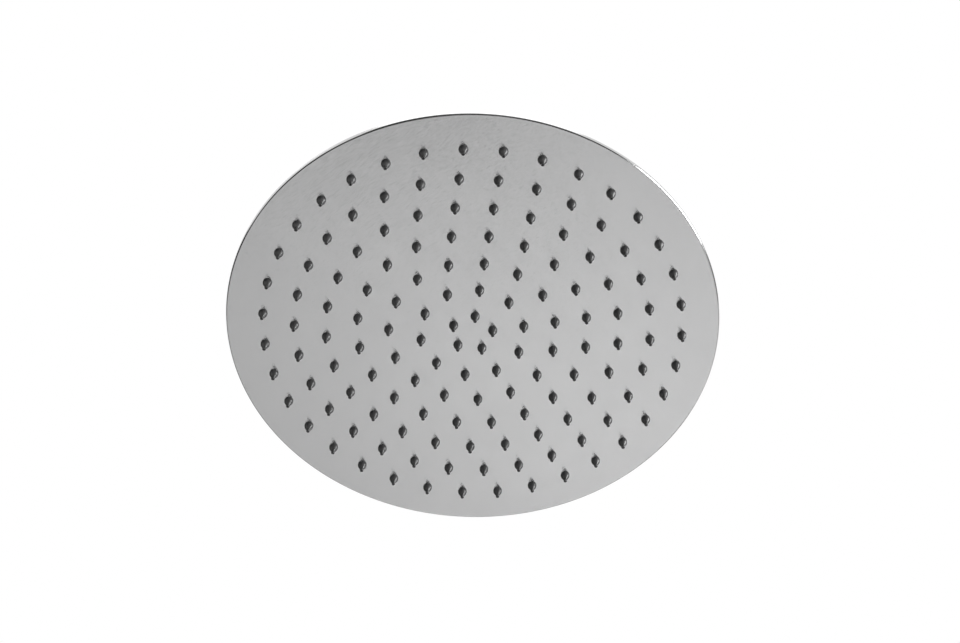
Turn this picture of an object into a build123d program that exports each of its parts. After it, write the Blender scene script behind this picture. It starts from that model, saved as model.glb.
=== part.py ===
from build123d import *
from math import asin, cos, degrees, radians, sin, sqrt, tan
import os

# A slim round rain shower head on a swivel ball joint, in millimetres.
# +Z is up, and the origin is the middle of the inlet thread's mouth.

# Disc: a pressed face pan and a coned back plate, welded together at the rim
head_diameter = 250.0
rim_height = 2.0
face_sheet = 0.6
back_sheet = 0.6
face_crown = 1.2  # how far the middle of the face bulges below its edge
rim_bend = 0.4  # inside radius of the bend into the lip
weld_gap = 0.03
back_rise = 7.0
back_bend = 14.0
back_flange = 6.0  # flat band of the back plate beside the lip
pad_margin = 5.0  # flat of the back plate around the hub's flange

# Nozzles: silicone, pushed into the face plate from inside, square to its surface
ring_count = 7
nozzles_per_step = 5  # each ring has this many more than the one inside it
first_ring_radius = 10.5
rim_margin = 18.8  # from the outer ring to the rim
first_nozzle_angle = 60.0
nozzle_base = 4.6
nozzle_shoulder = 0.9  # straight stretch between the face and the taper
nozzle_height = 4.8
nozzle_tip = 1.9
nozzle_tip_length = 1.2
nozzle_step = 2.64  # end of the taper, where it steps in to the tip
nozzle_step_height = 0.4
nozzle_outlet = 0.9
nozzle_inlet = 2.4
nozzle_flange = 6.2
nozzle_flange_height = 1.0
nozzle_clearance = 0.05

# Swivel: a ball in a cup, held by a seal carrier and a nut
ball_diameter = 22.0
tilt_limit = 15.0
neck_diameter = 12.5
waterway = 8.0
ball_land = 0.6  # flat around the waterway at the bottom of the ball
swivel_clearance = 0.06
assembly_clearance = 0.05
tilt_gap = 0.5
seat_wall = 2.0
seat_hole = 11.0
carrier_ledge = 1.1  # step in the hub that the seal carrier rests on
ledge_height = 0.2
carrier_height = 6.3
seal_section = 1.8
seal_height = 2.9
seal_gap = 0.1
hub_wall = 2.3
hub_outlet = 10.0
hub_floor = 2.0
hub_flange_diameter = 50.0
hub_flange_height = 2.0
hub_top_gap = 0.8
spigot_diameter = 16.0
spigot_stub = 0.6
nut_wall = 2.8
nut_lip = 2.0
nut_skirt_gap = 0.5
nut_round = 1.6
nut_flat_depth = 0.9
edge_break = 0.4

# Inlet: a hexagon collar with the pipe thread, cut here to its major diameter
thread_major = 20.96
thread_depth = 11.0
mouth_chamfer = 0.8
collar_wall = 1.52
collar_floor = 2.2
collar_chamfer = 1.6
collar_chamfer_height = 0.9
collar_edge = 0.5  # radius along the hexagon's corners
neck_fillet = 1.2  # where the neck meets the collar
washer_diameter = 18.6
washer_hole = 11.0
washer_height = 2.0
screen_sheet = 0.4
screen_hole = 1.4
screen_pitch = 2.2
screen_rings = 2

# Sizes that follow from those
head_radius = head_diameter / 2
ring_pitch = (head_radius - rim_margin - first_ring_radius) / (ring_count - 1)
crown_radius = (head_radius**2 + face_crown**2) / (2 * face_crown)
ball_radius = ball_diameter / 2
neck_radius = neck_diameter / 2
tilt = radians(tilt_limit)
seat_inner = ball_radius + swivel_clearance
seat_outer = seat_inner + seat_wall
socket_radius = seat_outer + swivel_clearance
carrier_bore = socket_radius + carrier_ledge
hub_radius = carrier_bore + hub_wall
nut_bore = hub_radius + assembly_clearance
nut_radius = nut_bore + nut_wall
hub_flange_radius = hub_flange_diameter / 2
spigot_radius = spigot_diameter / 2
seal_radius = sqrt((seat_inner + seal_section / 2) ** 2 - seal_height**2)
across_flats = thread_major + 2 * collar_wall
collar_corner = across_flats / sqrt(3)
recess_radius = washer_diameter / 2 + assembly_clearance
recess_depth = washer_height + screen_sheet

# Heights in the swivel, from the middle of the ball
carrier_top = ledge_height + carrier_height
nut_top = carrier_top + nut_lip
hub_depth = sqrt(socket_radius**2 - (hub_outlet / 2) ** 2) + hub_floor
collar_bottom = nut_top / cos(tilt) + collar_corner * tan(tilt) + tilt_gap

# Heights in the head, from the thread's mouth
ball_z = -(thread_depth + recess_depth + collar_floor + collar_bottom)
pad_z = ball_z - hub_depth
rim_top_z = pad_z - back_rise
rim_z = rim_top_z - rim_height
crown_centre_z = rim_z - face_crown + crown_radius

ON_BASE = (Align.CENTER, Align.CENTER, Align.MIN)


def drum(radius, low, high):
    """Cylinder about Z between two heights."""
    return Pos(0, 0, low) * Cylinder(radius, high - low, align=ON_BASE)


def turned(section):
    """Solid turned about Z from a flat section drawn as (radius, height)."""
    return revolve(Plane.XZ * section, Axis.Z)


def crown_arc(reach, depth):
    """Arc of the bulging face from the axis out to a radius, at a depth inside its outer surface."""
    arc_radius = crown_radius - depth
    return CenterArc((0, crown_centre_z), arc_radius, 270, degrees(asin(reach / arc_radius)))


def face_z(radius):
    """Height of the face's outer surface at a radius."""
    return crown_centre_z - sqrt(crown_radius**2 - radius**2)


def ring_radius(ring):
    return first_ring_radius + (ring - 1) * ring_pitch


def ring_places(ring):
    """The places of one ring's nozzles, on the face's outer surface and square to it."""
    radius = ring_radius(ring)
    lean = degrees(asin(radius / crown_radius))
    around = PolarLocations(radius, nozzles_per_step * ring, first_nozzle_angle)
    return [Pos(0, 0, face_z(radius)) * place * Rot(0, -lean, 0) for place in around]


def nearest_corner(section, radius, height):
    return section.vertices().sort_by_distance((radius, height, 0))[0]


def face_plate():
    lip_radius = head_radius - face_sheet
    outside = crown_arc(head_radius, 0)
    inside = crown_arc(lip_radius, face_sheet)
    lip = Polyline(outside @ 1, (head_radius, rim_top_z), (lip_radius, rim_top_z), inside @ 1)
    section = make_face(outside.edges() + lip.edges() + inside.edges() + [Line(inside @ 0, outside @ 0)])
    section = fillet(nearest_corner(section, head_radius, rim_z), rim_bend + face_sheet)
    section = fillet(nearest_corner(section, lip_radius, (inside @ 1).Y), rim_bend)
    pan = turned(section)
    punch = Cylinder(nozzle_base / 2 + nozzle_clearance, 4 * face_sheet)
    holes = [place * punch for ring in range(1, ring_count + 1) for place in ring_places(ring)]
    return pan - holes


def back_plate():
    pad_radius = hub_flange_radius + pad_margin
    edge_radius = head_radius - face_sheet - weld_gap
    top = FilletPolyline(
        (spigot_radius + assembly_clearance, pad_z),
        (pad_radius, pad_z),
        (edge_radius - back_flange, rim_top_z),
        (edge_radius, rim_top_z),
        radius=back_bend,
    )
    return turned(make_face(offset(top, back_sheet, side=Side.RIGHT).edges()))


def nozzle():
    """One nozzle, bored through, hanging from the face's outer surface at height 0."""
    flange_bottom = face_sheet + nozzle_clearance
    flange_top = flange_bottom + nozzle_flange_height
    outline = Polyline(
        (nozzle_outlet / 2, -nozzle_height),
        (nozzle_tip / 2, -nozzle_height),
        (nozzle_tip / 2, nozzle_tip_length - nozzle_height),
        (nozzle_step / 2, nozzle_tip_length + nozzle_step_height - nozzle_height),
        (nozzle_base / 2, -nozzle_shoulder),
        (nozzle_base / 2, flange_bottom),
        (nozzle_flange / 2, flange_bottom),
        (nozzle_flange / 2, flange_top),
        (nozzle_inlet / 2, flange_top),
        close=True,
    )
    return turned(make_face(outline.edges())).solid()


def nozzle_ring(ring):
    one = nozzle()
    return Compound([place * one for place in ring_places(ring)])


def neck_swing():
    """Room that the neck sweeps out of the seal carrier and the nut as the head tilts."""
    start = neck_radius / cos(tilt) + tilt_gap
    return Cone(start, start + nut_top * tan(tilt), nut_top, align=ON_BASE)


def hub():
    body = drum(hub_radius, -hub_depth, carrier_top - hub_top_gap)
    flange = drum(hub_flange_radius, -hub_depth, hub_flange_height - hub_depth)
    flange = chamfer(flange.edges().group_by(Axis.Z)[-1], edge_break)
    spigot = drum(spigot_radius, -hub_depth - back_sheet - spigot_stub, -hub_depth)
    outlet = drum(hub_outlet / 2, -hub_depth - back_sheet - spigot_stub, 0)
    seat_room = Sphere(socket_radius) + drum(carrier_bore, ledge_height, nut_top)
    return body + flange + spigot - seat_room - outlet


def retaining_nut():
    bottom = hub_flange_height + nut_skirt_gap - hub_depth
    nut = drum(nut_radius, bottom, nut_top)
    nut = fillet(nut.edges().group_by(Axis.Z)[-1], nut_round)
    nut = chamfer(nut.edges().group_by(Axis.Z)[0], edge_break)
    flats = Box(2 * nut_radius, 2 * (nut_radius - nut_flat_depth), 4 * nut_radius)
    nut = (nut & flats) - drum(nut_bore, bottom, carrier_top) - neck_swing() - Sphere(seat_inner)
    mouth = nut.edges().filter_by(GeomType.CIRCLE).group_by(Axis.Z)[-1].sort_by(SortBy.RADIUS)[0]
    return chamfer(mouth, edge_break)


def seal_carrier():
    groove_half = seal_section / 2 + seal_gap
    groove = drum(seal_radius + groove_half, seal_height - groove_half, seal_height + groove_half)
    ring = drum(carrier_bore - assembly_clearance, ledge_height, carrier_top)
    return ring - Sphere(seat_inner) - groove - neck_swing()


def ball_seal():
    return Pos(0, 0, seal_height) * Torus(seal_radius, seal_section / 2)


def ball_seat():
    """Cup between two spheres about the ball's middle, cut level below the seal carrier's reach."""
    top = -(seat_outer * sin(tilt) + tilt_gap)
    cup = Sphere(seat_outer) - Sphere(seat_inner)
    return (cup & drum(seat_outer, -seat_outer, top)) - drum(seat_hole / 2, -seat_outer, top)


def collar():
    """Hexagon with its corners turned off at both ends."""
    top = collar_bottom + collar_floor + recess_depth + thread_depth + mouth_chamfer
    blank = drum(collar_corner, collar_bottom, top)
    blank = chamfer(blank.edges().filter_by(GeomType.CIRCLE), collar_chamfer_height, collar_chamfer)
    hexagon = RegularPolygon(across_flats / 2, 6, major_radius=False)
    hexagon = fillet(hexagon.vertices(), collar_edge)
    return blank & Pos(0, 0, collar_bottom) * extrude(hexagon, top - collar_bottom)


def ball_stem():
    thread_radius = thread_major / 2
    recess_floor = collar_bottom + collar_floor
    thread_floor = recess_floor + recess_depth
    mouth = thread_floor + thread_depth
    flat = sqrt(ball_radius**2 - (waterway / 2 + ball_land) ** 2)
    ball = Sphere(ball_radius) & drum(ball_radius, -flat, ball_radius)
    stem = drum(neck_radius, 0, collar_bottom) + collar()
    rings = stem.edges().filter_by(GeomType.CIRCLE).filter_by_position(Axis.Z, collar_bottom, collar_bottom)
    stem = fillet(rings.sort_by(SortBy.RADIUS)[0], neck_fillet) + ball
    stem -= drum(waterway / 2, -flat, recess_floor)
    stem -= drum(recess_radius, recess_floor, thread_floor)
    stem -= drum(thread_radius, thread_floor, mouth)
    lead_in = Cone(thread_radius, thread_radius + mouth_chamfer, mouth_chamfer, align=ON_BASE)
    return stem - Pos(0, 0, mouth) * lead_in


def filter_screen():
    floor = collar_bottom + collar_floor
    disc = drum(washer_diameter / 2, floor, floor + screen_sheet)
    punch = drum(screen_hole / 2, floor, floor + screen_sheet)
    holes = [punch]
    for ring in range(1, screen_rings + 1):
        holes += [place * punch for place in PolarLocations(ring * screen_pitch, 6 * ring)]
    return disc - holes


def inlet_washer():
    bottom = collar_bottom + collar_floor + screen_sheet
    top = bottom + washer_height
    return drum(washer_diameter / 2, bottom, top) - drum(washer_hole / 2, bottom, top)


def save(name, shape):
    export_step(shape, f"parts/{name}.step")


os.makedirs("parts", exist_ok=True)
save("face_plate", face_plate())
save("back_plate", back_plate())
for ring in range(1, ring_count + 1):
    save(f"nozzles_ring_{ring}", nozzle_ring(ring))
swivel_pieces = [
    hub,
    retaining_nut,
    seal_carrier,
    ball_seal,
    ball_seat,
    ball_stem,
    filter_screen,
    inlet_washer,
]
for piece in swivel_pieces:
    save(piece.__name__, Pos(0, 0, ball_z) * piece())
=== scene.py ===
from math import asin, ceil, cos, degrees, pi, radians, sin, sqrt, tan

import bmesh
import bpy
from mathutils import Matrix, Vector


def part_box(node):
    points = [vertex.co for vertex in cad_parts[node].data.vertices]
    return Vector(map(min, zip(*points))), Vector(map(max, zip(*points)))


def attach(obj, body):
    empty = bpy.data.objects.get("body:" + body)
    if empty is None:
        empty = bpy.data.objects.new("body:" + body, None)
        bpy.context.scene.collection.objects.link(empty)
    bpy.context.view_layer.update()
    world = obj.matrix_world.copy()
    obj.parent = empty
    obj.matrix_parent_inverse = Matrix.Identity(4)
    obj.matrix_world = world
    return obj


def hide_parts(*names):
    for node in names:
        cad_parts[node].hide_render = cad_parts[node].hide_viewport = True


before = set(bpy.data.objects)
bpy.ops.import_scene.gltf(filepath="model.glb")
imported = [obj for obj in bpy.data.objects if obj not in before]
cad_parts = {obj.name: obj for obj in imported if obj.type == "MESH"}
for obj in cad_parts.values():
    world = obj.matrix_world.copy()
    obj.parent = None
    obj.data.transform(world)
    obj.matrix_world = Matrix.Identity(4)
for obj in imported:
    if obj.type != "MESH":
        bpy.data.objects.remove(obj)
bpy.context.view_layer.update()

# Sizes that the solids have, in metres
MM = 0.001
ring_count = 7
nozzles_per_step = 5
first_ring_radius = 10.5 * MM
ring_pitch = 15.95 * MM
first_nozzle_angle = radians(60)
head_radius = 125 * MM
face_crown = 1.2 * MM
rim_round = 1.0 * MM
face_sheet = 0.6 * MM
flange_radius = 25 * MM
thread_root_radius = 10.48 * MM
thread_depth = 11 * MM
face_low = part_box("face_plate")[0].z
rim_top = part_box("face_plate")[1].z
pad_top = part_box("back_plate")[1].z
crown_radius = (head_radius**2 + face_crown**2) / (2 * face_crown)
crown_middle = Vector((0, 0, face_low + crown_radius))
bend_radius = head_radius - rim_round
bend_height = crown_middle.z - sqrt((crown_radius - rim_round) ** 2 - bend_radius**2)

# Sizes of the forms that are added to them
fine_rim_start = 122.6 * MM
fine_rim_next = 123.3 * MM
seam_radius = 124.385 * MM
seam_half_width = 0.34 * MM
seam_height = 0.12 * MM
seam_ripples = 1100
braze_leg = 0.9 * MM
thread_crest_radius = 9.32 * MM
thread_pitch = 1.814 * MM
thread_root_width = 0.94 * thread_pitch
thread_crest_width = 0.2 * thread_pitch
thread_run_out_turns = 1 / 3

# Corners this close are joined, and faces that meet at more than these angles keep a crisp edge
join_distance = 0.001 * MM
metal_edge = radians(28)
silicone_edge = radians(45)
bead_edge = radians(50)
# A face that leans less than this from the pan's own direction lies on its outside
pan_tolerance = radians(12)

# The satin scratches
scratch_angle = radians(-41)
scratch_length = 5 * MM
scratch_width = 0.03 * MM
scratch_fade = 0.8 * MM
straight_steepness = 0.8
spun_steepness = 0.35


class Socket:
    """An output of a node. Arithmetic adds Math nodes, and an index picks another output of its node."""

    def __init__(self, tree, node, output):
        self.tree = tree
        self.node = node
        self.socket = node.outputs[output]

    def __getitem__(self, output):
        return Socket(self.tree, self.node, output)

    def math(self, operation, other=0.0):
        return self.tree.math(operation, self, other)

    def __add__(self, other):
        return self.tree.math("ADD", self, other)

    def __radd__(self, other):
        return self.tree.math("ADD", other, self)

    def __sub__(self, other):
        return self.tree.math("SUBTRACT", self, other)

    def __rsub__(self, other):
        return self.tree.math("SUBTRACT", other, self)

    def __mul__(self, other):
        return self.tree.math("MULTIPLY", self, other)

    def __rmul__(self, other):
        return self.tree.math("MULTIPLY", other, self)

    def __truediv__(self, other):
        return self.tree.math("DIVIDE", self, other)

    def __pow__(self, other):
        return self.tree.math("POWER", self, other)


class Tree:
    """Adds nodes to a shader or geometry tree."""

    def __init__(self, tree):
        self.tree = tree

    def add(self, kind, sockets=None, output=0, **settings):
        """A node of that kind: its settings are set first, then its sockets are given values or links."""
        node = self.tree.nodes.new(kind)
        for name, value in settings.items():
            setattr(node, name, value)
        for name, value in (sockets or {}).items():
            if isinstance(value, Socket):
                self.tree.links.new(value.socket, node.inputs[name])
            else:
                node.inputs[name].default_value = value
        return Socket(self, node, output) if node.outputs else node

    def math(self, operation, left, right):
        return self.add("ShaderNodeMath", {0: left, 1: right}, operation=operation)

    def vector(self, **axes):
        return self.add("ShaderNodeCombineXYZ", axes)


class Finish(Tree):
    """A material made of nodes."""

    # The Mix node repeats its socket names for each kind of data, so its colours go by number
    first_colour, second_colour, mixed_colour = 6, 7, 2

    def __init__(self, name):
        self.material = bpy.data.materials.new(name)
        self.material.use_nodes = True
        super().__init__(self.material.node_tree)
        self.tree.nodes.clear()
        self.place = self.add("ShaderNodeTexCoord", output="Object")

    def axes(self):
        return self.add("ShaderNodeSeparateXYZ", {"Vector": self.place})

    def from_axis(self):
        """The distance from the Z axis."""
        axes = self.axes()
        return (axes["X"] * axes["X"] + axes["Y"] * axes["Y"]) ** 0.5

    def around_axis(self):
        """The angle about the Z axis."""
        axes = self.axes()
        return axes["Y"].math("ARCTAN2", axes["X"])

    def turned_place(self, lines, sweep):
        """Coordinates that run out from the Z axis and, slower, around it."""
        out, around, up = self.from_axis(), self.around_axis(), self.axes()["Z"]
        return self.vector(X=out * lines, Y=around * sweep, Z=up * lines)

    def stretched_place(self, x, y, z):
        return self.add("ShaderNodeMapping", {"Vector": self.place, "Scale": (x, y, z)})

    def noise(self, place, scale, detail):
        return self.add("ShaderNodeTexNoise", {"Vector": place, "Scale": scale, "Detail": detail})

    def scratched(self, across, slope):
        """The surface's own direction, tilted across its scratches by their slope."""
        square = self.add("ShaderNodeTexCoord", output="Normal")
        tilt = self.add("ShaderNodeVectorMath", {0: across, "Scale": slope}, operation="SCALE")
        tilted = self.add("ShaderNodeVectorMath", {0: square, 1: tilt}, operation="ADD")
        turn = {"vector_type": "NORMAL", "convert_from": "OBJECT", "convert_to": "WORLD"}
        return self.add("ShaderNodeVectorTransform", {"Vector": tilted}, **turn)

    def shade(self, level, dark, light):
        """A colour between two, by a level from 0 to 1."""
        ends = {self.first_colour: (*dark, 1.0), self.second_colour: (*light, 1.0)}
        return self.add("ShaderNodeMix", {"Factor": level, **ends}, self.mixed_colour, data_type="RGBA")

    def bump(self, height, strength, distance):
        return self.add("ShaderNodeBump", {"Height": height, "Strength": strength, "Distance": distance})

    def surface(self, sockets):
        shader = self.add("ShaderNodeBsdfPrincipled", sockets)
        self.add("ShaderNodeOutputMaterial", {"Surface": shader})
        return self.material


def satin_sheet(name, grain):
    """Satin-polished stainless sheet: fine scratches, up to its bend, smear what it reflects."""
    finish = Finish(name)
    place, across, steepness = grain(finish)
    scratches = finish.noise(place, scale=1.0, detail=1.0)
    clouds = finish.noise(finish.place, scale=45.0, detail=2.0)
    inside = finish.add("ShaderNodeClamp", {"Value": (bend_radius - finish.from_axis()) / scratch_fade})
    wear = clouds * 0.6 + scratches * 0.4
    return finish.surface({
        "Base Color": finish.shade(wear, dark=(0.56, 0.56, 0.565), light=(0.62, 0.62, 0.62)),
        "Metallic": 1.0,
        "Roughness": 0.09 + 0.04 * scratches + 0.04 * clouds,
        "Normal": finish.scratched(across, (scratches - 0.5) * inside * steepness),
    })


def straight_grain(finish):
    """Scratches along one slanting way: where they lie, the way across them and their steepness."""
    scratch = {"Rotation": (0, 0, scratch_angle), "Scale": (scratch_length, scratch_width, scratch_width)}
    place = finish.add("ShaderNodeMapping", {"Vector": finish.place, **scratch}, vector_type="TEXTURE")
    return place, (-sin(scratch_angle), cos(scratch_angle), 0), straight_steepness


def spun_grain(finish):
    """Scratches around the Z axis, told in the same way."""
    flat = finish.add("ShaderNodeVectorMath", {0: finish.place, 1: (1, 1, 0)}, operation="MULTIPLY")
    outwards = finish.add("ShaderNodeVectorMath", {0: flat}, operation="NORMALIZE")
    return finish.turned_place(lines=33000.0, sweep=14.0), outwards, spun_steepness


def polished_chrome(name):
    """Chrome over turned brass, with wiped smears and a trace of the turning."""
    finish = Finish(name)
    smears = finish.noise(finish.place, scale=160.0, detail=3.0)
    turning = finish.noise(finish.turned_place(lines=5200.0, sweep=1.5), scale=1.0, detail=2.0)
    return finish.surface({
        "Base Color": finish.shade(smears, dark=(0.66, 0.665, 0.675), light=(0.72, 0.72, 0.725)),
        "Metallic": 1.0,
        "Roughness": 0.05 + 0.07 * smears + 0.02 * turning,
        "Normal": finish.bump(turning, strength=0.02, distance=0.01 * MM),
    })


def welded_seam(name):
    """Fused steel, rippled along the way that the torch went round, and a little dulled."""
    finish = Finish(name)
    ripples = (finish.around_axis() * seam_ripples).math("SINE") * 0.5 + 0.5
    tint = finish.noise(finish.place, scale=300.0, detail=3.0)
    return finish.surface({
        "Base Color": finish.shade(tint, dark=(0.43, 0.425, 0.41), light=(0.58, 0.575, 0.56)),
        "Metallic": 1.0,
        "Roughness": 0.2 + 0.16 * tint,
        "Normal": finish.bump(ripples, strength=0.6, distance=0.06 * MM),
    })


def moulded_silicone(name):
    """Dark grey silicone with a fine-pored, slightly glossy skin."""
    finish = Finish(name)
    mottle = finish.noise(finish.place, scale=900.0, detail=3.0)
    pores = finish.noise(finish.place, scale=6500.0, detail=2.0)
    return finish.surface({
        "Base Color": finish.shade(mottle, dark=(0.08, 0.08, 0.081), light=(0.103, 0.103, 0.104)),
        "Roughness": 0.13 + 0.08 * mottle,
        "IOR": 1.5,
        "Normal": finish.bump(pores, strength=0.12, distance=0.04 * MM),
    })


def natural_acetal(name):
    """Off-white acetal with turning marks."""
    finish = Finish(name)
    mottle = finish.noise(finish.place, scale=220.0, detail=2.0)
    tooling = finish.noise(finish.turned_place(lines=4000.0, sweep=1.0), scale=1.0, detail=2.0)
    return finish.surface({
        "Base Color": finish.shade(mottle, dark=(0.70, 0.69, 0.65), light=(0.78, 0.775, 0.74)),
        "Roughness": 0.38 + 0.12 * mottle,
        "Normal": finish.bump(tooling, strength=0.1, distance=0.03 * MM),
    })


def black_rubber(name):
    """Matt rubber with a faint bloom."""
    finish = Finish(name)
    mottle = finish.noise(finish.place, scale=1400.0, detail=4.0)
    bloom = finish.noise(finish.place, scale=180.0, detail=2.0)
    return finish.surface({
        "Base Color": finish.shade(bloom, dark=(0.012, 0.012, 0.012), light=(0.035, 0.035, 0.034)),
        "Roughness": 0.5 + 0.3 * mottle,
        "Normal": finish.bump(mottle, strength=0.25, distance=0.05 * MM),
    })


def punched_steel(name):
    """Thin rolled sheet, with its grain along X."""
    finish = Finish(name)
    grain = finish.noise(finish.stretched_place(250.0, 5000.0, 5000.0), scale=1.0, detail=3.0)
    return finish.surface({
        "Base Color": finish.shade(grain, dark=(0.42, 0.42, 0.41), light=(0.56, 0.56, 0.55)),
        "Metallic": 1.0,
        "Roughness": 0.28 + 0.2 * grain,
        "Normal": finish.bump(grain, strength=0.15, distance=0.02 * MM),
    })


finishes = {
    "face": satin_sheet("satin_steel_face", straight_grain),
    "back": satin_sheet("satin_steel_back", spun_grain),
    "chrome": polished_chrome("polished_chrome"),
    "weld": welded_seam("welded_seam"),
    "silicone": moulded_silicone("moulded_silicone"),
    "acetal": natural_acetal("natural_acetal"),
    "rubber": black_rubber("black_rubber"),
    "screen": punched_steel("punched_steel"),
}
finish_of_node = {
    "face_plate": "face",
    "back_plate": "back",
    "hub": "chrome",
    "retaining_nut": "chrome",
    "ball_stem": "chrome",
    "seal_carrier": "acetal",
    "ball_seat": "acetal",
    "ball_seal": "rubber",
    "inlet_washer": "rubber",
    "filter_screen": "screen",
}
nozzle_nodes = [f"nozzles_ring_{ring}" for ring in range(1, ring_count + 1)]
for node in nozzle_nodes:
    finish_of_node[node] = "silicone"


def dress(piece, finish):
    piece.data.materials.clear()
    piece.data.materials.append(finishes[finish])


def smooth(mesh, edge):
    """Smooth shading, with a crisp line where two faces meet at more than the edge's angle."""
    mesh.shade_smooth()
    mesh.set_sharp_from_angle(angle=edge)


def add_piece(name, mesh, body, slot, *nodes):
    """A new piece that rides on a body and, where nodes are named, is shown instead of them."""
    piece = bpy.data.objects.new(name, mesh)
    bpy.context.scene.collection.objects.link(piece)
    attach(piece, body)
    if nodes:
        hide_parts(*nodes)
    return piece


def smooth_copy(node, body, slot, rim=None):
    """A copy of a node with its triangles joined, for smooth reflections, and with a finer rim if given."""
    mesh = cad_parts[node].data.copy()
    surface = bmesh.new()
    surface.from_mesh(mesh)
    bmesh.ops.remove_doubles(surface, verts=surface.verts, dist=join_distance)
    if rim:
        coarse = [face for face in surface.faces if face.calc_center_median().xy.length > bend_radius]
        bmesh.ops.delete(surface, geom=coarse, context="FACES")
        surface.from_mesh(rim)
    surface.to_mesh(mesh)
    surface.free()
    smooth(mesh, metal_edge)
    return add_piece(node + "_polished", mesh, body, slot, node)


def square_to_pan(place):
    """Direction square to the outside of the face pan at a place on it: the bulge, the bend or the lip."""
    out = Vector((place.x, place.y, 0))
    if out.length < bend_radius:
        return (place - crown_middle).normalized()
    if place.z > bend_height:
        return out.normalized()
    return (place - out.normalized() * bend_radius - Vector((0, 0, bend_height))).normalized()


def follow_pan(piece):
    """Gives the corners on the outside of the pan its own curves' directions, which long triangles miss."""
    mesh = piece.data
    normals = [corner.vector.copy() for corner in mesh.corner_normals]
    for polygon in mesh.polygons:
        if polygon.normal.dot(square_to_pan(polygon.center)) < cos(pan_tolerance):
            continue
        for corner in polygon.loop_indices:
            normals[corner] = square_to_pan(mesh.vertices[mesh.loops[corner].vertex_index].co)
    mesh.normals_split_custom_set(normals)


def turned_mesh(name, outline, segments):
    """A closed outline of (radius, height) points turned about Z."""
    surface = bmesh.new()
    rings = []
    for step in range(segments):
        angle = 2 * pi * step / segments
        rings.append([surface.verts.new((r * cos(angle), r * sin(angle), z)) for r, z in outline])
    for step, ring in enumerate(rings):
        following = rings[(step + 1) % segments]
        for i in range(len(outline)):
            j = (i + 1) % len(outline)
            surface.faces.new((ring[i], following[i], following[j], ring[j]))
    bmesh.ops.recalc_face_normals(surface, faces=surface.faces)
    mesh = bpy.data.meshes.new(name)
    surface.to_mesh(mesh)
    surface.free()
    return mesh


def arc_points(centre, size, start, end, steps):
    """Points of an upright arc in (radius, height), with its own width and height, between two degrees."""
    turns = [radians(start + (end - start) * step / steps) for step in range(steps + 1)]
    return [(centre[0] + size[0] * cos(turn), centre[1] + size[1] * sin(turn)) for turn in turns]


def pan_rim():
    """The face pan's edge, from the bulge round the bend and up the lip, in finer steps than the solid's."""
    middle = (bend_radius, bend_height)
    reach = crown_radius - rim_round
    tilt = degrees(asin(bend_radius / reach)) - 90

    def on_bulge(radius, depth):
        return radius, crown_middle.z - sqrt((crown_radius - depth) ** 2 - radius**2)

    inner_round = rim_round - face_sheet
    outline = [on_bulge(fine_rim_start, 0), on_bulge(fine_rim_next, 0)]
    outline += arc_points(middle, (rim_round, rim_round), tilt, 0, steps=14)
    outline += [(head_radius, rim_top), (head_radius - face_sheet, rim_top)]
    outline += arc_points(middle, (inner_round, inner_round), 0, tilt, steps=6)
    outline += [on_bulge(fine_rim_start, face_sheet)]
    return turned_mesh("pan_rim", outline, segments=720)


class Growth(Tree):
    """A geometry tree with named inputs, which makes one plain mesh."""

    def __init__(self, name, inputs):
        group = bpy.data.node_groups.new(name, "GeometryNodeTree")
        super().__init__(group)
        self.values = {}
        for label, (kind, value) in inputs.items():
            item = group.interface.new_socket(label, in_out="INPUT", socket_type=kind)
            self.values[item.identifier] = value
        group.interface.new_socket("Mesh", in_out="OUTPUT", socket_type="NodeSocketGeometry")
        self.inputs = self.add("NodeGroupInput")

    def mesh(self, name, geometry):
        """The finished geometry, realized and evaluated."""
        real = self.add("GeometryNodeRealizeInstances", {"Geometry": geometry})
        finish = self.inputs["Material"]
        dressed = self.add("GeometryNodeSetMaterial", {"Geometry": real, "Material": finish})
        self.add("NodeGroupOutput", {"Mesh": dressed})
        holder = bpy.data.objects.new(name, bpy.data.meshes.new(name))
        bpy.context.scene.collection.objects.link(holder)
        modifier = holder.modifiers.new(name, "NODES")
        modifier.node_group = self.tree
        for identifier, value in self.values.items():
            modifier[identifier] = value
        evaluated = holder.evaluated_get(bpy.context.evaluated_depsgraph_get())
        mesh = bpy.data.meshes.new_from_object(evaluated)
        mesh.name = name
        bpy.data.objects.remove(holder)
        return mesh


def nozzle_outline():
    """Half section of one nozzle below and above the face's outer surface, with moulded radii."""
    section = [
        (0.45, -4.80), (0.84, -4.80), (0.92, -4.70), (0.93, -3.46), (0.97, -3.38),
        (1.07, -3.34), (1.13, -3.26), (1.48, -2.55), (1.92, -1.80), (2.19, -1.20),
        (2.30, -0.75), (2.30, 0.62), (3.10, 0.66), (3.10, 1.65), (1.20, 1.65),
    ]
    return [(radius * MM, height * MM) for radius, height in section]


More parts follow.
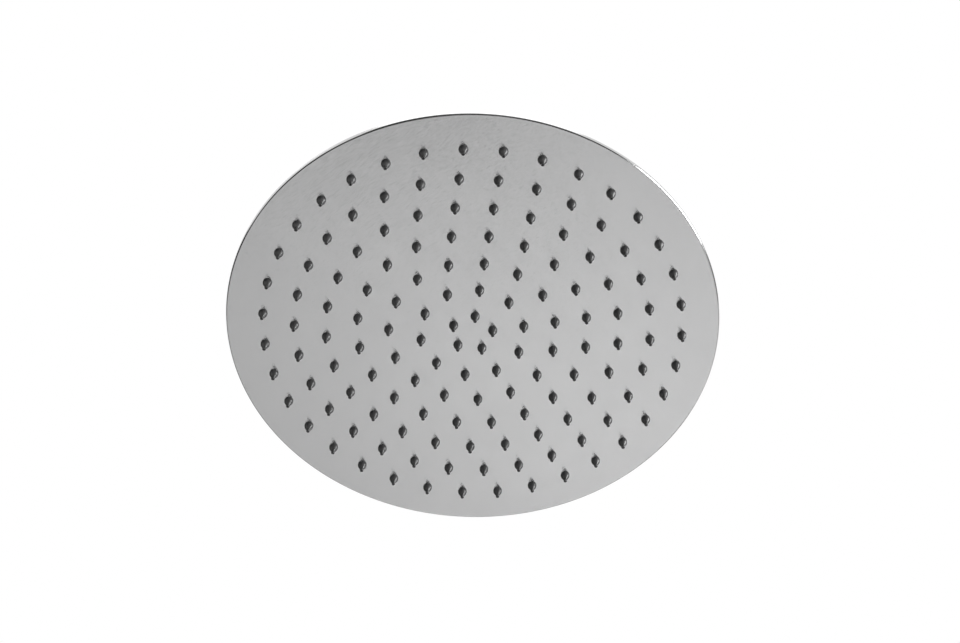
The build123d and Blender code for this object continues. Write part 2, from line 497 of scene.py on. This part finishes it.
def spray_nozzles():
    """All the nozzles, in rings that each have five more than the one inside, square to the bulging face."""
    one = bpy.data.objects.new("one_nozzle", turned_mesh("one_nozzle", nozzle_outline(), segments=16))
    grow = Growth("spray_nozzles", {
        "Nozzle": ("NodeSocketObject", one),
        "Rings": ("NodeSocketInt", ring_count),
        "Nozzles per step": ("NodeSocketInt", nozzles_per_step),
        "First radius": ("NodeSocketFloat", first_ring_radius),
        "Pitch": ("NodeSocketFloat", ring_pitch),
        "First angle": ("NodeSocketFloat", first_nozzle_angle),
        "Crown radius": ("NodeSocketFloat", crown_radius),
        "Crown height": ("NodeSocketFloat", crown_middle.z),
        "Material": ("NodeSocketMaterial", finishes["silicone"]),
    })
    give = grow.inputs
    rings, step = give["Rings"], give["Nozzles per step"]
    points = grow.add("GeometryNodePoints", {"Count": step * rings * (rings + 1) / 2})
    index = grow.add("GeometryNodeInputIndex")
    # The rings inside ring k hold step * k * (k - 1) / 2 nozzles, which is solved for k here
    ring = ((1 + (1 + 8 * (index + 0.5) / step) ** 0.5) / 2).math("FLOOR")
    along = index - step * ring * (ring - 1) / 2
    angle = give["First angle"] + 2 * pi * along / (step * ring)
    radius = give["First radius"] + (ring - 1) * give["Pitch"]
    lean = (radius / give["Crown radius"]).math("ARCSINE")
    place = grow.vector(
        X=radius * angle.math("COSINE"),
        Y=radius * angle.math("SINE"),
        Z=give["Crown height"] - (give["Crown radius"] ** 2 - radius**2) ** 0.5,
    )
    turn = grow.vector(Y=0 - lean, Z=angle)
    shape = grow.add("GeometryNodeObjectInfo", {"Object": give["Nozzle"]}, output="Geometry")
    nozzles = grow.add("GeometryNodeInstanceOnPoints", {
        "Points": grow.add("GeometryNodeSetPosition", {"Geometry": points, "Position": place}),
        "Instance": grow.add("GeometryNodeSetShadeSmooth", {"Geometry": shape}),
        "Rotation": grow.add("FunctionNodeEulerToRotation", {"Euler": turn}),
    })
    mesh = grow.mesh("spray_nozzles", nozzles)
    mesh.set_sharp_from_angle(angle=silicone_edge)
    bpy.data.objects.remove(one)
    return mesh


def inlet_thread():
    """The pipe thread's ridge: a right-handed spiral on the inlet's wall that sinks into it at both ends."""
    grow = Growth("inlet_thread", {
        "Root radius": ("NodeSocketFloat", thread_root_radius),
        "Ridge height": ("NodeSocketFloat", thread_root_radius - thread_crest_radius),
        "Root width": ("NodeSocketFloat", thread_root_width),
        "Crest width": ("NodeSocketFloat", thread_crest_width),
        "Pitch": ("NodeSocketFloat", thread_pitch),
        "Length": ("NodeSocketFloat", thread_depth - thread_pitch),
        "Start": ("NodeSocketFloat", thread_pitch / 2 - thread_depth),
        "Steps per turn": ("NodeSocketInt", 72),
        "Material": ("NodeSocketMaterial", finishes["chrome"]),
    })
    give = grow.inputs
    turns = give["Length"] / give["Pitch"]
    spiral = grow.add("GeometryNodeCurveSpiral", {
        "Resolution": give["Steps per turn"],
        "Rotations": turns,
        "Start Radius": give["Root radius"],
        "End Radius": give["Root radius"],
        "Height": give["Length"],
        "Reverse": True,
    })
    level = grow.add("GeometryNodeSetCurveNormal", {"Curve": spiral}, mode="Z_UP")
    along = grow.add("GeometryNodeSplineParameter")["Factor"]
    from_end = along.math("MINIMUM", 1 - along) * turns * (1 / thread_run_out_turns)
    ridge = grow.add("GeometryNodeCurvePrimitiveQuadrilateral", {
        "Height": give["Ridge height"],
        "Bottom Width": give["Root width"],
        "Top Width": give["Crest width"],
        "Offset": 0.0,
    }, mode="TRAPEZOID")
    inwards = grow.add("GeometryNodeTransform", {
        "Geometry": ridge,
        "Translation": grow.vector(X=give["Ridge height"] * -0.5),
        "Rotation": (0, 0, pi / 2),
    })
    swept = grow.add("GeometryNodeCurveToMesh", {
        "Curve": level,
        "Profile Curve": inwards,
        "Scale": from_end.math("MINIMUM", 1.0),
        "Fill Caps": True,
    })
    lowered = grow.add("GeometryNodeTransform", {
        "Geometry": swept,
        "Translation": grow.vector(Z=give["Start"]),
    })
    mesh = grow.mesh("inlet_thread", lowered)
    smooth(mesh, metal_edge)
    return mesh


def rim_seam():
    """The low weld bead where the back plate meets the lip."""
    bead = arc_points((seam_radius, rim_top), (seam_half_width, seam_height), 0, 180, steps=8)
    return turned_mesh("rim_seam", bead, segments=360)


def hub_braze():
    """The hollow fillet of braze around the foot of the hub's flange."""
    middle = (flange_radius + braze_leg, pad_top + braze_leg)
    hollow = arc_points(middle, (braze_leg, braze_leg), 180, 270, steps=8)
    return turned_mesh("hub_braze", [(flange_radius, pad_top)] + hollow, segments=180)


for node, finish in finish_of_node.items():
    dress(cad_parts[node], finish)
follow_pan(smooth_copy("face_plate", "head", "satin_steel", pan_rim()))
smooth_copy("back_plate", "head", "satin_steel")
for node in ("hub", "retaining_nut"):
    smooth_copy(node, "head", "plated_brass")
smooth_copy("ball_stem", "inlet", "plated_brass")
add_piece("spray_nozzles", spray_nozzles(), "head", "silicone", *nozzle_nodes)
add_piece("inlet_thread", inlet_thread(), "inlet", "plated_brass")
for name, mesh in (("rim_seam", rim_seam()), ("hub_braze", hub_braze())):
    smooth(mesh, bead_edge)
    dress(add_piece(name, mesh, "head", "satin_steel"), "weld")

# The stage, in metres and degrees
floor_height = -2.1
mat_height = floor_height + 0.01
white_distance = 3.2
card_distance = 0.9
card_step = 12
fill_light = 0.58
black, dark, grey, soft, pale = [(level, level, level) for level in (0.03, 0.1, 0.2, 0.42, 0.8)]


def panel(name, corners, faces, colour, glow=0.0):
    """A piece of the set. The camera sees it lighter than it is, by the glow's share, and far off white."""
    mesh = bpy.data.meshes.new(name)
    mesh.from_pydata(corners, [], faces)
    piece = bpy.data.objects.new(name, mesh)
    bpy.context.scene.collection.objects.link(piece)
    stage = Finish(name)
    seen = stage.add("ShaderNodeLightPath")["Is Camera Ray"]
    far_off = (stage.from_axis() / white_distance) ** 2
    share = stage.add("ShaderNodeClamp", {"Value": glow + (1 - glow) * far_off})
    matt = stage.add("ShaderNodeBsdfDiffuse", {"Color": (*colour, 1.0)})
    white = stage.add("ShaderNodeEmission", {"Color": (1, 1, 1, 1), "Strength": 1.0})
    shader = stage.add("ShaderNodeMixShader", {0: seen * share, 1: matt, 2: white})
    stage.add("ShaderNodeOutputMaterial", {"Surface": shader})
    mesh.materials.append(stage.material)
    return piece


def level_panel(name, x_span, y_span, height, colour, glow=0.0):
    """A level rectangle of the set."""
    (left, right), (front, back) = x_span, y_span
    corners = [(left, front, height), (right, front, height), (right, back, height), (left, back, height)]
    return panel(name, corners, [(0, 1, 2, 3)], colour, glow)


def card(name, around, slopes, colour):
    """An upright curved card that the camera doesn't see, between two directions and two slopes."""
    start, end = around
    steps = ceil((end - start) / card_step)
    corners = []
    for step in range(steps + 1):
        angle = radians(start + (end - start) * step / steps)
        for slope in slopes:
            height = card_distance * tan(radians(slope))
            corners.append((card_distance * cos(angle), card_distance * sin(angle), height))
    faces = [(2 * step, 2 * step + 1, 2 * step + 3, 2 * step + 2) for step in range(steps)]
    piece = panel(name, corners, faces, colour)
    piece.visible_camera = False
    piece.visible_shadow = False


def soft_lamp(name, place, aim, size, power):
    """A rectangular lamp that the camera doesn't see."""
    light = bpy.data.lights.new(name, "AREA")
    light.shape = "RECTANGLE"
    light.size, light.size_y = size
    light.energy = power
    lamp = bpy.data.objects.new(name, light)
    lamp.location = place
    lamp.rotation_euler = (Vector(aim) - Vector(place)).to_track_quat("-Z", "Y").to_euler()
    lamp.visible_camera = False
    bpy.context.scene.collection.objects.link(lamp)
    return lamp


def studio_world():
    """White where the camera, metal or glass looks, and a plain soft level as light."""
    world = bpy.data.worlds.new("studio")
    world.use_nodes = True
    tree = Tree(world.node_tree)
    world.node_tree.nodes.clear()
    path = tree.add("ShaderNodeLightPath")
    seen = path["Is Camera Ray"].math("MAXIMUM", path["Is Glossy Ray"])
    seen = seen.math("MAXIMUM", path["Is Transmission Ray"])
    light = tree.add("ShaderNodeBackground", {"Color": (1, 1, 1, 1), "Strength": fill_light})
    white = tree.add("ShaderNodeBackground", {"Color": (1, 1, 1, 1), "Strength": 1.0})
    mixed = tree.add("ShaderNodeMixShader", {0: seen, 1: light, 2: white})
    tree.add("ShaderNodeOutputWorld", {"Surface": mixed})
    bpy.context.scene.world = world


level_panel("floor", (-7, 7), (-6, 8), floor_height, pale, glow=0.85)
mat = level_panel("mat", (-1.4, -0.12), (-0.9, 0.72), mat_height, soft)
mat.visible_camera = False
card("front_left_card", around=(-130, -100), slopes=(-64, -4), colour=black)
card("front_right_card", around=(-100, -33), slopes=(-64, -4), colour=dark)
card("low_left_card", around=(150, 230), slopes=(-66, -28), colour=black)
card("left_card", around=(150, 178), slopes=(-28, 4), colour=black)
card("right_card", around=(2, 20), slopes=(-14, 26), colour=black)
card("back_card", around=(50, 150), slopes=(-25, 2), colour=grey)

overhead = soft_lamp("overhead_softbox", (-0.2, 0.3, 2.4), aim=(-0.2, 0.3, 0), size=(2.8, 2.6), power=8)
overhead.visible_glossy = False
soft_lamp("front_softbox", (-0.15, -1.35, 2.4), aim=(-0.15, -1.35, 0), size=(2.7, 0.9), power=12.5)
soft_lamp("left_softbox", (-1.45, 0.05, 2.4), aim=(-1.45, 0.05, 0), size=(0.9, 1.8), power=8.3)
soft_lamp("side_softbox", (1.78, -0.48, -0.38), aim=(0, 0, -0.05), size=(1.1, 0.85), power=36)
soft_lamp("floor_wash", (0.5, 1.9, -1.22), aim=(0.5, 1.9, floor_height), size=(0.7, 0.7), power=6)
studio_world()

lens = bpy.data.cameras.new("camera")
lens.lens = 67.444
lens.sensor_width = 36.0
lens.clip_end = 50.0
camera = bpy.data.objects.new("camera", lens)
camera.location = (-0.00417, -0.52972, -0.79510)
camera.rotation_euler = [radians(angle) for angle in (144.868, -0.921, -2.167)]
bpy.context.scene.collection.objects.link(camera)
bpy.context.scene.camera = camera
bpy.context.scene.view_settings.view_transform = "Standard"
